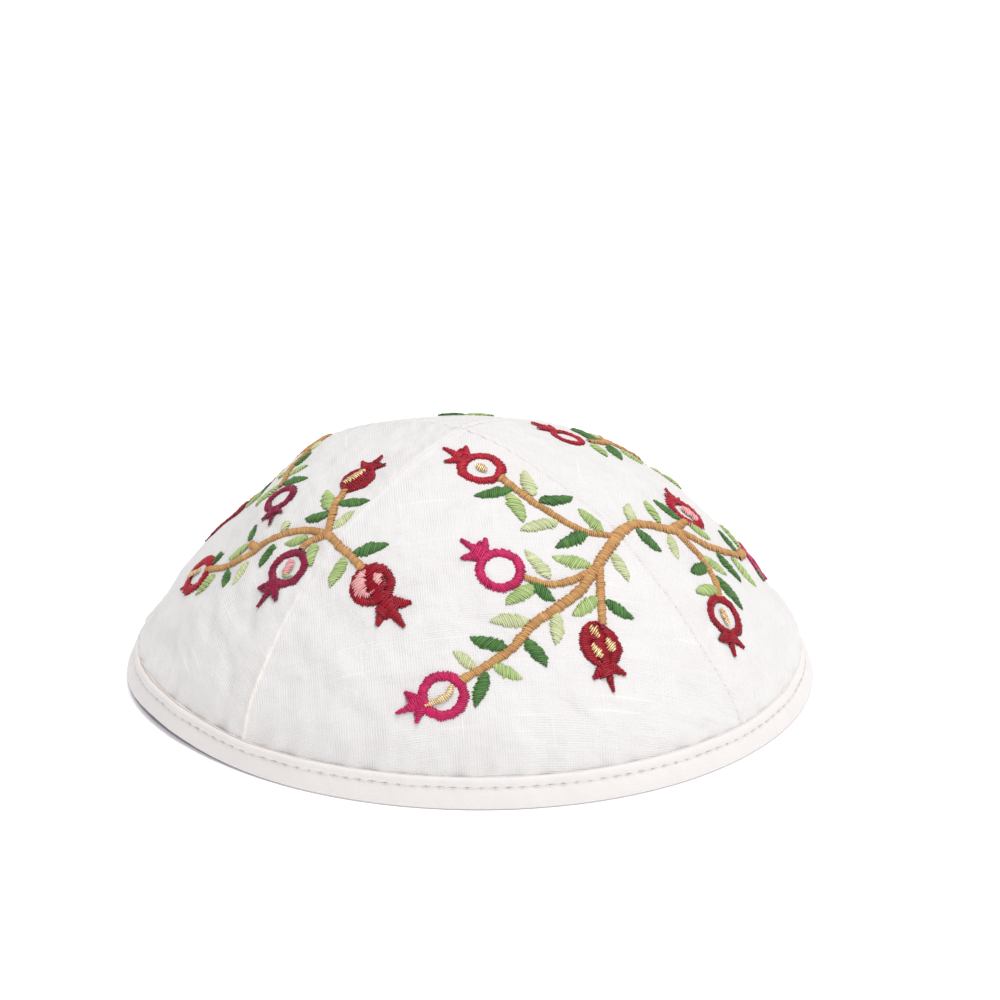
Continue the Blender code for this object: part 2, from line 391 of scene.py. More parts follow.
def crown_height(azimuth, station):
    up = section_value("up", station)
    return CROWN_EDGE + up * (CROWN_HEIGHT - CROWN_EDGE) + rim_lift(azimuth) * (1.0 - smooth(up))


def place(azimuth, radius, height):
    """Points from their azimuth, height and distance from the crown's leaning middle."""
    turn = np.radians(azimuth)
    leaning = smooth((height - CROWN_EDGE) / (CROWN_HEIGHT - CROWN_EDGE))
    across = radius * np.sin(turn) - LEAN_LEFT * leaning
    return np.stack([across, LEAN_BACK * leaning - radius * np.cos(turn), height], -1)


def crown_point(azimuth, station):
    """Points on the smooth outside of the crown."""
    return place(azimuth, crown_radius(azimuth, station), crown_height(azimuth, station))


def unit(vectors):
    return vectors / np.linalg.norm(vectors, axis=-1, keepdims=True)


def crown_out(azimuth, station):
    """The directions that point straight out of the crown."""
    low = np.clip(station - 0.03, 0.0, LAST_SECTION - 0.06)
    across = crown_point(azimuth + 0.3, station) - crown_point(azimuth - 0.3, station)
    upward = crown_point(azimuth, low + 0.06) - crown_point(azimuth, low)
    return unit(np.cross(across, upward))


def seam_distance(azimuth, station):
    """How far places are from the nearest seam, left of it below 0, and that seam's rise."""
    nearest = np.full(np.broadcast(azimuth, station).shape, 1.0)
    rise = np.zeros_like(nearest)
    for seam in SEAMS:
        turn = np.radians(turn_between(azimuth, seam["azimuth"]))
        distance = crown_radius(azimuth, station) * np.sin(np.clip(turn, -1.4, 1.4))
        nearer = np.abs(distance) < np.abs(nearest)
        nearest = np.where(nearer, distance, nearest)
        rise = np.where(nearer, seam["rise"], rise)
    return nearest, rise


def hump(distance, wide):
    return np.exp(-((distance / wide) ** 2))


def rib_strength(up):
    """The standing seam is proudest low down and flattens towards the point."""
    return 1.0 - 0.8 * smooth((up - RIB_FADE_FROM) / RIB_FADE)


def relief(azimuth, station):
    """How far the real cloth stands out of the crown's smooth form, inwards below 0."""
    up = section_value("up", station)
    place_here = crown_point(azimuth, station)
    beside, rise = seam_distance(azimuth, station)
    standing = rise > 0.0
    out = rise * hump(beside, np.where(standing, RIB_WIDE, SEAM_WIDE))
    out = out * np.where(standing, rib_strength(up), 1.0)
    lip = hump(np.abs(beside) - SEAM_LIP_OFF, SEAM_LIP_WIDE)
    out = out + SEAM_LIP * lip * (1.0 + 0.5 * np.sign(beside))
    pull = np.sin(13.5 * station + np.sign(beside))
    out = out + SEAM_PUCKER * hump(beside, SEAM_PUCKER_WIDE) * pull
    above_band = np.clip(up - BAND_LINE, 0.0, 1.0) * CROWN_HEIGHT
    wave = np.sin(np.radians(azimuth) * 47.0) + np.sin(np.radians(azimuth) * 71.0 + 1.3)
    out = out + BAND_PUCKER * wave * hump(above_band, BAND_PUCKER_WIDE)
    east, north, high = (place_here[..., axis] / MM for axis in range(3))
    soft = (
        np.sin(east / 4.9 + 1.7 * np.sin(high / 7.0) + 0.4 * np.sin(east / 2.3))
        + np.sin(north / 5.3 + high / 4.7 + 1.2 * np.sin(east / 6.0))
        + 0.5 * np.sin((east + 1.3 * high) / 2.1 + 0.9 * np.sin(north / 3.0))
        + 0.5 * np.sin((east - 1.6 * high) / 2.4 + 1.1 * np.sin(east / 5.0))
    )
    patches = np.sin(east / 9.0 + 2.0) * np.sin(high / 6.0 + north / 11.0)
    patches = 0.35 + 0.65 * smooth(0.5 + 0.5 * patches)
    soft = soft * patches * smooth(above_band / (8.0 * MM)) * (1.0 - hump(beside, 3.0 * MM))
    left = 1.0 + RIPPLE_LEFT["more"] * hump_at(azimuth, RIPPLE_LEFT)
    out = out + RIPPLE * soft * left * (1.0 - 0.6 * smooth((up - RIPPLE_CALM) / 0.20))
    for bag in BAGS:
        swell = bag["out"] * MM * smooth((up - BAG_START) / BAG_RISE)
        out = out + swell * hump_at(azimuth, bag, up)
    for crease in CREASES:
        start = crown_point(*places_up([crease["start"]]))[0]
        end = crown_point(*places_up([crease["end"]]))[0]
        line = end - start
        share = np.clip(((place_here - start) @ line) / (line @ line), 0.0, 1.0)
        off = np.linalg.norm(place_here - start - share[..., None] * line, axis=-1)
        fading = smooth(1.0 - np.abs(2.0 * share - 1.0) ** 3)
        valley = crease["deep"] * MM * hump(off, crease["wide"] * MM)
        out = out - valley * (0.15 + 0.85 * fading)
    return out


def places_up(pairs):
    """Azimuths and stations from (azimuth, share of the height) pairs."""
    azimuth = np.array([float(pair[0]) for pair in pairs])
    goal = np.array([float(pair[1]) for pair in pairs])
    ladder = np.linspace(0.0, LAST_SECTION, 400)
    return azimuth, np.interp(goal, section_value("up", ladder), ladder)


def cloth_point(azimuth, station, above=0.0):
    """Points on the crown's cloth, or a distance above it."""
    out = crown_out(azimuth, station)
    return crown_point(azimuth, station) + out * (relief(azimuth, station) + above)[..., None]


silk = Finish("white_silk", Specular_IOR_Level=0.3, Sheen_Weight=0.06, Sheen_Roughness=0.4)
SILK_THREADS = 2.0 * math.pi / 0.60
silk_uv = silk.add("ShaderNodeUVMap", uv_map="cloth")
silk_u, silk_v = silk.axis(silk_uv, "X"), silk.axis(silk_uv, "Y")
weft = silk.noise(silk.stretched(silk_uv, (0.045, 1.9, 1.0)), 1.0)
warp = silk.noise(silk.stretched(silk_uv, (1.9, 0.045, 1.0)), 1.0)
weft_slub = silk.ramp(silk.noise(silk.stretched(silk_uv, (0.05, 1.1, 1.0)), 1.0, 0.0), 0.74, 0.82)
warp_slub = silk.ramp(silk.noise(silk.stretched(silk_uv, (1.1, 0.05, 1.0)), 1.0, 0.0), 0.78, 0.84)
weft_ribs = silk.one("SINE", silk_v * SILK_THREADS + 1.5 * weft)
warp_ribs = silk.one("SINE", silk_u * SILK_THREADS + 1.5 * warp)
blotch = silk.noise(silk_uv, 0.09, 3.0)
rib_share = silk.ramp(silk.noise(silk_uv, 0.06, 1.0), 0.35, 0.65)
ribs = weft_ribs * rib_share + warp_ribs * (1.0 - 0.8 * rib_share)
tan_line = 1.0 - silk.ramp(silk.fact("beside_seam"), 0.15, 0.50)
grain = silk.noise(silk_uv, 2.4, 1.0)
silk_tone = 0.5 + 0.35 * (weft - 0.5) + 0.30 * (warp - 0.5) + 0.16 * ribs
silk_tone = silk_tone + 0.60 * (blotch - 0.5) + 0.40 * (grain - 0.5)
silk_colour = silk.blend(silk_tone, (0.72, 0.69, 0.69), (0.845, 0.835, 0.835))
silk_colour = silk.blend(0.4 * (weft_slub + warp_slub), silk_colour, (0.93, 0.89, 0.85))
# A thin tan line along every seam: partly the colour of the thread and cut edges there, partly
# painted shade in the seam.
silk_colour = silk.blend(0.12 * tan_line, silk_colour, (0.66, 0.54, 0.44))
# Painted highlight: a lighter cream along the standing rib seam.
silk_colour = silk.blend(0.85 * silk.fact("rib_highlight"), silk_colour, (0.96, 0.915, 0.86))
crumple = silk.noise(silk_uv, 0.15, 1.0) + 0.16 * silk.noise(silk_uv, 0.5, 1.0)
silk_height = 0.04 * weft + 0.035 * warp + 0.028 * ribs + 0.02 * (weft_slub + warp_slub) + crumple
silk.paint(silk_colour, 0.50 + 0.2 * weft, silk_height, 1.1 * MM)


def make_piece(name, points, faces, finish, uv=(), facts=()):
    """A smooth-shaded piece from points and faces, with UVs and per-point facts if it has any."""
    mesh = bpy.data.meshes.new(name)
    mesh.from_pydata(points.tolist(), [], faces.tolist())
    corners = np.empty(len(mesh.loops), int)
    mesh.loops.foreach_get("vertex_index", corners)
    for uv_name, values in dict(uv).items():
        layer = mesh.uv_layers.new(name=uv_name)
        layer.uv.foreach_set("vector", values[corners].astype(np.float32).ravel())
    for fact, values in dict(facts).items():
        attribute = mesh.attributes.new(fact, "FLOAT", "POINT")
        attribute.data.foreach_set("value", values.astype(np.float32))
    mesh.materials.append(finish.material)
    mesh.shade_smooth()
    mesh.set_sharp_from_angle(angle=math.radians(SHARP_EDGE))
    mesh.validate()
    return put(name, mesh)


def grid_faces(rows, columns, closed_rows=False, closed_columns=False):
    """Faces of a grid of points that is stored row by row."""
    row = np.arange(rows if closed_rows else rows - 1)[:, None]
    column = np.arange(columns if closed_columns else columns - 1)[None, :]
    next_row, next_column = (row + 1) % rows, (column + 1) % columns
    corners = [
        row * columns + column,
        row * columns + next_column,
        next_row * columns + next_column,
        next_row * columns + column,
    ]
    return np.stack([corner.ravel() for corner in np.broadcast_arrays(*corners)], -1)


for seam, following in zip(SEAMS, SEAMS[1:] + SEAMS[:1]):
    width = (following["azimuth"] - seam["azimuth"]) % 360.0
    even = np.linspace(0.0, 1.0, PANEL_COLUMNS + 1)
    shares = 0.45 * even + 0.55 * 0.5 * (1.0 - np.cos(math.pi * even))
    stations = np.linspace(0.0, LAST_SECTION, PANEL_ROWS + 1)
    azimuths, stations = np.meshgrid(seam["azimuth"] + shares * width, stations)
    outside = cloth_point(azimuths, stations)
    inside = outside - crown_out(azimuths, stations) * CLOTH_THICKNESS
    from_top = np.linalg.norm(np.diff(outside, axis=0), axis=-1)[::-1].cumsum(0)[::-1]
    from_top = np.vstack([from_top, np.zeros(PANEL_COLUMNS + 1)])
    turned = np.radians(azimuths - seam["azimuth"] - width / 2.0)
    fan = turned * crown_radius(azimuths, stations) / np.maximum(from_top, 1.0 * MM)
    flat = np.stack([from_top * np.sin(fan), from_top * np.cos(fan)], -1) / MM
    beside, rise = seam_distance(azimuths, stations)
    rib_highlight = np.where(rise > 0.0, hump(beside, RIB_HIGHLIGHT_WIDE), 0.0)
    rib_highlight = rib_highlight * rib_strength(section_value("up", stations))

    count = azimuths.size
    rows, columns = azimuths.shape
    outer = grid_faces(rows, columns)
    ids = np.arange(count).reshape(rows, columns)
    edge = np.concatenate([ids[0, :], ids[1:, -1], ids[-1, -2::-1], ids[-2:0:-1, 0]])
    after = np.roll(edge, -1)
    rim_faces = np.stack([edge, edge + count, after + count, after], -1)
    panel = make_piece(
        seam["panel"] + "_silk",
        np.concatenate([outside.reshape(-1, 3), inside.reshape(-1, 3)]),
        np.concatenate([outer, outer[:, ::-1] + count, rim_faces]),
        silk,
        uv={"cloth": np.tile(flat.reshape(-1, 2), (2, 1))},
        facts={
            "beside_seam": np.tile(np.abs(beside).ravel() / MM, 2),
            "rib_highlight": np.tile(rib_highlight.ravel(), 2),
        },
    )
    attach(panel, "root")
    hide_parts(seam["panel"])

# The binding: a bias strip of cream cotton sateen, folded over the crown's edge and sewn down by one
# row of stitches, between which it puffs a little. Its upper fold is a soft roll.
BINDING_HEIGHT = 6.8 * MM
TOP_STITCHES = 161
STATIONS_PER_STITCH = 6
TOP_STITCH_DROP = 2.1 * MM
GAPE = 0.35 * MM               # how far the upper fold stands off the crown on the left
GAPE_AZIMUTH = -78.0
GAPE_REACH = 32.0
PUFF = 0.10 * MM               # how far the strip is drawn in at a stitch
# The upper fold's shaded edge is painted shade: a brown line where the crown meets the binding,
# darker on the left where the fold stands off the crown.
FOLD_LINE = (6.80, 6.89)       # levels in mm, between which the upper fold turns to its shaded edge
FOLD_FROM = (36.0, 44.0)       # stitches from which that edge darkens on the left, and up to which
FOLD_TO = (62.0, 74.0)

# A painted shadow shows as a dark line low on the strip, where the rim sits on the card and lifts
# off it on the left. low and more are its reach up the strip all round and what the left adds to
# that, in mm, and before and after are half widths in degrees.
RIM_SHADOW = {"azimuth": -66.0, "before": 12.0, "after": 20.0, "low": 0.24, "more": 0.85}

# The strip's outline in one upright plane. level is a height above the rim's underside, and off is
# how far out of the crown's face, in mm.
BINDING_OUTLINE = table(
    "level off",
    (0.00, -1.90), (0.00, 0.45), (0.22, 1.05), (0.80, 1.36), (1.80, 1.46), (2.90, 1.44),
    (3.80, 1.34), (4.35, 1.20), (4.70, 1.06), (5.05, 1.22), (5.50, 1.42), (6.00, 1.50),
    (6.50, 1.38), (6.82, 1.05), (6.90, 0.62), (6.78, 0.22), (6.30, 0.10), (3.80, 0.30),
    (1.00, 0.30), (1.00, -1.50), (3.80, -1.50), (6.60, -1.60), (6.90, -2.00), (6.60, -2.45),
    (5.00, -2.45), (4.60, -2.30), (4.10, -2.45), (1.60, -2.55), (0.40, -2.45),
)


def station_at(level):
    """Stations at which the crown, with no lift, reaches heights."""
    ladder = np.linspace(0.0, LAST_SECTION, 800)
    heights = CROWN_EDGE + section_value("up", ladder) * (CROWN_HEIGHT - CROWN_EDGE)
    return np.interp(level, heights, ladder)


def binding_point(azimuth, level, off):
    """Points at a level of the binding, some distance out of the crown's face."""
    azimuth, level, off = np.broadcast_arrays(azimuth, level, off)
    station = station_at(np.maximum(level, CROWN_EDGE))
    low = np.maximum(station - 0.05, 0.0)
    run = crown_radius(azimuth, low) - crown_radius(azimuth, low + 0.1)
    rise = crown_height(azimuth, low + 0.1) - crown_height(azimuth, low)
    length = np.hypot(run, rise)
    under = np.maximum(CROWN_EDGE - level, 0.0)
    radius = crown_radius(azimuth, station) + under * run / rise + off * length / rise
    return place(azimuth, radius, level + rim_lift(azimuth))


stitch_line_azimuths = np.linspace(-180.0, 180.0, 1441)
STITCH_LEVEL = BINDING_HEIGHT - TOP_STITCH_DROP
stitch_line = binding_point(stitch_line_azimuths, STITCH_LEVEL, 1.2 * MM)
stitch_walk = np.linalg.norm(np.diff(stitch_line, axis=0), axis=-1).cumsum()
stitch_walk = np.concatenate([[0.0], stitch_walk])
TOP_STITCH_PITCH = stitch_walk[-1] / TOP_STITCHES


def stitches_passed(azimuth):
    """How many top-stitches lie between the back of the rim and an azimuth."""
    return np.interp(azimuth, stitch_line_azimuths, stitch_walk) / TOP_STITCH_PITCH


stations_round = TOP_STITCHES * STATIONS_PER_STITCH
azimuths = np.interp(
    np.arange(stations_round) / STATIONS_PER_STITCH * TOP_STITCH_PITCH,
    stitch_walk,
    stitch_line_azimuths,
)[:, None]
levels = np.array([row["level"] for row in BINDING_OUTLINE])[None, :] * MM
offs = np.array([row["off"] for row in BINDING_OUTLINE])[None, :] * MM
outer_face = offs > 0.4 * MM
near_stitch = hump(levels - STITCH_LEVEL, 0.9 * MM)
puff = 0.5 + 0.5 * np.cos(2.0 * math.pi * stitches_passed(azimuths))
offs = offs + np.where(outer_face, PUFF * near_stitch * (puff - 1.0), 0.0)
lazy = np.sin(np.radians(azimuths) * 23.0) + np.sin(np.radians(azimuths) * 37.0 + 2.0)
drag = np.sin(np.radians(azimuths) * 97.0 + levels / MM * 1.1)
uneven = (0.05 * lazy + 0.035 * drag) * MM * smooth(levels / (2.0 * MM))
offs = offs + np.where(outer_face, uneven, 0.0)
gape = GAPE * smooth(1.0 - np.abs(turn_between(azimuths, GAPE_AZIMUTH)) / GAPE_REACH)
offs = offs + np.where(offs > 0.0, gape * smooth(levels / (7.0 * MM)) ** 2, 0.0)
offs = offs * np.ones_like(azimuths)
band_points = binding_point(azimuths, levels * np.ones_like(azimuths), offs)
around = np.repeat(stitches_passed(azimuths), levels.size, axis=1)
upward = np.repeat(levels / MM * np.where(offs[:1] > 0.4 * MM, 1.0, -1.0), stations_round, axis=0)

tape = Finish("cream_tape", Specular_IOR_Level=0.2, Sheen_Weight=0.06, Sheen_Roughness=0.4)
stitches_on, strip_level, above_rim_shadow = (
    tape.fact(name) for name in ("stitches_on", "strip_level", "above_rim_shadow")
)
pitch_mm = float(TOP_STITCH_PITCH / MM)
along = stitches_on * pitch_mm
bias_one = tape.one("SINE", (along + strip_level) * 9.5)
bias_two = tape.one("SINE", (along - strip_level) * 9.5)
# The needle holes of the top-stitching: a dent in the bump, and painted shade in the colour.
hole_along = (tape.one("FRACT", stitches_on) - 0.5) * pitch_mm
hole_up = strip_level - float(STITCH_LEVEL / MM)
hole_far = tape.one("SQRT", hole_along * hole_along + hole_up * hole_up * 1.6)
hole = 1.0 - tape.ramp(hole_far, 0.10, 0.38)
fold_line = tape.ramp(strip_level, *FOLD_LINE)
fold_left = tape.ramp(stitches_on, *FOLD_FROM) * (1.0 - tape.ramp(stitches_on, *FOLD_TO))
soil = tape.noise(tape.place(), 120.0, 3.0)
fibre = tape.noise(tape.place(), 2600.0, 2.0)
tape_colour = tape.blend(soil, (0.775, 0.745, 0.735), (0.835, 0.805, 0.79))
tape_colour = tape.blend(0.25 * fibre, tape_colour, (0.72, 0.69, 0.67))
# Painted shade along the upper fold.
painted_fold_shade = (0.30 + 0.55 * fold_left) * fold_line
tape_colour = tape.blend(painted_fold_shade, tape_colour, (0.44, 0.32, 0.23))
tape_colour = tape.blend(0.28 * hole, tape_colour, (0.42, 0.29, 0.20))
# Painted shadow: the foot of the strip is painted dark grey-purple, reaching higher where the rim
# lifts on the left.
painted_rim_shadow = 1.0 - tape.ramp(above_rim_shadow, -0.10, 0.14)
tape_colour = tape.blend(0.92 * painted_rim_shadow, tape_colour, (0.115, 0.085, 0.135))
tape_height = 0.12 * bias_one + 0.12 * bias_two + 0.5 * fibre - 3.0 * hole
tape.paint(tape_colour, 0.55 + 0.15 * fibre, tape_height, 0.05 * MM)

turn_past = turn_between(azimuths, RIM_SHADOW["azimuth"])
half_width = np.where(turn_past < 0.0, RIM_SHADOW["before"], RIM_SHADOW["after"])
shadow_reach = RIM_SHADOW["low"] + RIM_SHADOW["more"] * hump(turn_past, half_width)
binding = make_piece(
    "rim_binding_tape",
    band_points.reshape(-1, 3),
    grid_faces(stations_round, levels.size, closed_rows=True, closed_columns=True)[:, ::-1],
    tape,
    facts={
        "stitches_on": around.ravel(),
        "strip_level": upward.ravel(),
        "above_rim_shadow": (np.abs(upward) - shadow_reach).ravel(),
    },
)
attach(binding, "root")
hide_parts("rim_binding")

# A row of stitches: each is one short length of thread that comes out of the cloth, arches over and
# goes back in. The tree lays them along a line, each across it or along it, one pitch apart.
STITCH_LENGTHWAYS = 7
STITCH_ROUND = 5
stitch_tree = bpy.data.node_groups.new("row_of_stitches", "GeometryNodeTree")
STITCH_INPUTS = {
    "Line": "Geometry", "Pitch": "Float", "Thread": "Float", "Arch": "Float",
    "Arch Share": "Float", "Raggedness": "Float", "Finish": "Material",
}
stitch_inputs = {
    name: stitch_tree.interface.new_socket(
        name, in_out="INPUT", socket_type="NodeSocket" + kind
    ).identifier
    for name, kind in STITCH_INPUTS.items()
}
stitch_tree.interface.new_socket("Stitches", in_out="OUTPUT", socket_type="NodeSocketGeometry")

rows = Board(stitch_tree)
given = {name: rows.add("NodeGroupInput", {}, name) for name in STITCH_INPUTS}


def named(geometry, domain, name, value):
    """The geometry with a number stored on it under a name."""
    stored = {"Geometry": geometry, "Name": name, "Value": value}
    return rows.add("GeometryNodeStoreNamedAttribute", stored, data_type="FLOAT", domain=domain)


def arrow(name):
    return rows.add("GeometryNodeInputNamedAttribute", {"Name": name}, data_type="FLOAT_VECTOR")


def chance(low, high, seed):
    return rows.add("FunctionNodeRandomValue", {"Min": low, "Max": high, "Seed": seed})


sheet_size = {"Vertices X": STITCH_LENGTHWAYS, "Vertices Y": STITCH_ROUND}
sheet = rows.add("GeometryNodeMeshGrid", {"Size X": 2.0, "Size Y": 2.0, **sheet_size})
sheet_place = rows.add("GeometryNodeInputPosition")
sheet_x, sheet_y = rows.axis(sheet_place, "X"), rows.axis(sheet_place, "Y")
curl = sheet_y * math.radians(100.0)
arch = (1.0 - sheet_x * sheet_x * 0.999) ** 0.55
slim = 0.45 + 0.55 * arch
strand_place = {
    "X": sheet_x,
    "Y": rows.one("SINE", curl) * slim,
    "Z": arch + rows.one("COSINE", curl) * slim * 0.5 - 0.35,
}
strand_place = rows.add("ShaderNodeCombineXYZ", strand_place)
strand = named(sheet, "POINT", "strand_side", rows.one("ABSOLUTE", sheet_y))
strand = rows.add("GeometryNodeSetPosition", {"Geometry": strand, "Position": strand_place})
strand = rows.add("GeometryNodeSetShadeSmooth", {"Geometry": strand})

line = rows.add("GeometryNodeMeshToCurve", {"Mesh": given["Line"]})
walk = {"Curve": line, "Length": given["Pitch"]}
line = rows.add("GeometryNodeResampleCurve", walk, mode="LENGTH")
reach = rows.add("ShaderNodeVectorMath", {0: arrow("reach")}, "Value", operation="LENGTH")
facing = rows.add(
    "FunctionNodeAxesToRotation",
    {"Primary Axis": arrow("out"), "Secondary Axis": arrow("reach")},
    primary_axis="Z",
    secondary_axis="X",
)
askew = rows.add("ShaderNodeCombineXYZ", {"Z": given["Raggedness"] * chance(-0.32, 0.32, 13)})
askew = rows.add("FunctionNodeEulerToRotation", {0: askew})
facing = rows.add("FunctionNodeRotateRotation", {0: facing, 1: askew}, rotation_space="LOCAL")
slip = {0: arrow("reach"), "Scale": given["Raggedness"] * chance(-0.6, 0.6, 17)}
slip = rows.add("ShaderNodeVectorMath", slip, operation="SCALE")
line = rows.add("GeometryNodeSetPosition", {"Geometry": line, "Offset": slip})
size = {
    "X": reach * (1.0 + given["Raggedness"] * chance(-1.0, 1.0, 3)),
    "Y": given["Thread"] * chance(0.88, 1.12, 5),
    "Z": (given["Arch"] + given["Arch Share"] * reach) * chance(0.86, 1.14, 7),
}
size = rows.add("ShaderNodeCombineXYZ", size)
laid = {"Points": line, "Instance": strand, "Rotation": facing, "Scale": size}
laid = rows.add("GeometryNodeInstanceOnPoints", laid)
laid = named(laid, "INSTANCE", "strand_shade", chance(0.0, 1.0, 11))
laid = rows.add("GeometryNodeRealizeInstances", {"Geometry": laid})
laid = rows.add("GeometryNodeSetMaterial", {"Geometry": laid, "Material": given["Finish"]})
rows.add("NodeGroupOutput", {0: laid})


def sew(name, runs, finish, pitch, thread, arch, arch_share=0.0, raggedness=0.0):
    """Makes one piece of all the stitches in some runs. A run is (middles, reaches, outs)."""
    points, reaches, outs, edges = [], [], [], []
    for middle, run_reach, run_out in runs:
        first = sum(len(part) for part in points)
        points.append(middle)
        reaches.append(run_reach)
        outs.append(run_out)
        edges += [(first + step, first + step + 1) for step in range(len(middle) - 1)]
    guide = bpy.data.meshes.new(name + "_guide")
    guide.from_pydata(np.concatenate(points).tolist(), edges, [])
    for fact, values in (("reach", reaches), ("out", outs)):
        attribute = guide.attributes.new(fact, "FLOAT_VECTOR", "POINT")
        attribute.data.foreach_set("vector", np.concatenate(values).astype(np.float32).ravel())
    carrier = put(name + "_guide", guide)
    modifier = carrier.modifiers.new("stitches", "NODES")
    modifier.node_group = stitch_tree
    values = (pitch, thread, arch, arch_share, raggedness, finish.material)
    for socket, value in zip(list(STITCH_INPUTS)[1:], values):
        modifier[stitch_inputs[socket]] = value
    ready = carrier.evaluated_get(bpy.context.evaluated_depsgraph_get())
    mesh = bpy.data.meshes.new_from_object(ready)
    for fact in ("reach", "out"):
        mesh.attributes.remove(mesh.attributes[fact])
    bpy.data.objects.remove(carrier)
    mesh.name = name
    piece = put(name, mesh)
    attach(piece, "root")


def thread_finish(name, dark, light, gloss=0.30, groove_light=0.34):
    """Spun or rayon thread: strands of slightly unlike shades, with fine fibres, and painted shade in
    the grooves between them.
    """
    finish = Finish(name, Specular_IOR_Level=0.30)
    shade, side, where = finish.fact("strand_shade"), finish.fact("strand_side"), finish.place()
    fibres = finish.noise(where, 3800.0, 2.0)
    patches = finish.noise(where, 240.0, 2.0)
    share = 0.42 * shade + 0.33 * patches + 0.25 * fibres
    thread_colour = finish.blend(share, dark, light)
    # Painted shade: each strand's sides, where it meets its neighbours, are darkened towards the
    # groove colour.
    groove = tuple(groove_light * part for part in dark)
    thread_colour = finish.blend(0.85 * finish.ramp(side, 0.24, 0.78), thread_colour, groove)
    finish.paint(thread_colour, gloss + 0.15 * fibres, fibres + 0.8 * shade, 0.05 * MM)
    return finish


# The binding's top-stitching: one row of machine stitches in cream cotton, drawn down into the
# strip.
def tangents(points):
    return unit(np.gradient(points, axis=0))


top_line_azimuths = np.linspace(-180.0, 180.0, 721)
top_line = binding_point(top_line_azimuths, STITCH_LEVEL, 1.06 * MM)
top_line_out = unit(binding_point(top_line_azimuths, STITCH_LEVEL, 2.0 * MM) - top_line)
top_line_walk = np.linalg.norm(np.diff(top_line, axis=0), axis=-1).sum()
cotton = thread_finish("sewing_thread", (0.74, 0.68, 0.63), (0.86, 0.82, 0.78), 0.55, 0.95)
sew(
    "binding_top_stitching",
    [(top_line, tangents(top_line) * 0.36 * TOP_STITCH_PITCH, top_line_out)],
    cotton,
    pitch=float(top_line_walk / TOP_STITCHES),
    thread=0.13 * MM,
    arch=0.14 * MM,
)

# The seams' own stitches: a dot of thread shows where each one pulls the two panels together. The
# seam that stands out as a rib hides its stitches.
SEAM_STITCH_PITCH = 2.1 * MM
seam_runs = []
for seam in SEAMS:
    if seam["rise"] > 0.0:
        continue
    stations = np.linspace(0.9, 4.4, 90)
    azimuths = np.full_like(stations, seam["azimuth"])
    line_points = cloth_point(azimuths, stations, -0.05 * MM)
    seam_runs.append((line_points, tangents(line_points) * 0.26 * MM, crown_out(azimuths, stations)))
seam_thread = thread_finish("seam_thread", (0.42, 0.33, 0.27), (0.60, 0.50, 0.43), 0.6, 0.8)
sew(
    "seam_stitching",
    seam_runs,
    seam_thread,
    pitch=SEAM_STITCH_PITCH,
    thread=0.15 * MM,
    arch=0.10 * MM,
)

# The embroidery: pomegranate branches all round the crown, worked by machine in satin stitch with
# rayon thread. A place on them is a pixel of the photograph, laid on the cloth, or, behind the crown,
# ("far", azimuth, share of the height).
SATIN_PITCH = 0.48 * MM
SATIN_THREAD = 0.30 * MM

sample_azimuths, sample_stations = np.meshgrid(
    np.arange(0.0, 360.0, 1.5), np.linspace(0.0, LAST_SECTION, 133), indexing="ij"
)
sample_points = crown_point(sample_azimuths, sample_stations)
crown_tree = BVHTree.FromPolygons(
    [Vector(point) for point in sample_points.reshape(-1, 3)],
    grid_faces(*sample_azimuths.shape, closed_rows=True).tolist(),
)


def on_crown(points):
    """Azimuths and stations of the crown's places nearest to some points."""
    points = np.atleast_2d(points)
    leaning = smooth((points[:, 2] - CROWN_EDGE) / (CROWN_HEIGHT - CROWN_EDGE))
    east = points[:, 0] + LEAN_LEFT * leaning
    south = LEAN_BACK * leaning - points[:, 1]
    azimuth = np.degrees(np.arctan2(east, south))
    ladder = np.linspace(0.0, LAST_SECTION, 441)
    across = crown_radius(azimuth[:, None], ladder[None, :]) - np.hypot(east, south)[:, None]
    upward = crown_height(azimuth[:, None], ladder[None, :]) - points[:, 2:3]
    gap = across**2 + upward**2
    best = np.clip(gap.argmin(1), 1, ladder.size - 2)
    row = np.arange(len(best))
    low, here, high = gap[row, best - 1], gap[row, best], gap[row, best + 1]
    bend = np.maximum(low - 2.0 * here + high, 1e-15)
    return azimuth, ladder[best] + (ladder[1] - ladder[0]) * 0.5 * (low - high) / bend


def spot(at):
    """A place of the embroidery as a point of the crown's smooth form."""
    if at[0] == "far":
        return crown_point(*places_up([at[1:]]))[0]
    right = (at[0] / PHOTO_SIDE - 0.5) * SENSOR_MM / LENS_MM
    above = (0.5 - at[1] / PHOTO_SIDE) * SENSOR_MM / LENS_MM
    ray = (VIEW_LINE + Vector((right, 0.0, 0.0)) + VIEW_UP * above).normalized()
    hit = crown_tree.ray_cast(camera.location, ray)[0]
    if hit is not None:
        return np.array(hit)
    sight = sample_points.reshape(-1, 3) - np.array(camera.location)
    return sample_points.reshape(-1, 3)[(unit(sight) @ np.array(ray)).argmax()]


def through(points, steps=6):
    """A smooth line through a few points."""
    points = np.array(points)
    if len(points) == 2:
        shares = np.linspace(0.0, 1.0, 2 * steps)[:, None]
        return points[0] + (points[1] - points[0]) * shares
    ends = np.vstack([2.0 * points[0] - points[1], points, 2.0 * points[-1] - points[-2]])
    line = []
    for before, here, after, beyond in zip(ends, ends[1:], ends[2:], ends[3:]):
        for t in np.arange(steps) / steps:
            line.append(curve(before, here, after, beyond, t))
    return np.array(line + [points[-1]])


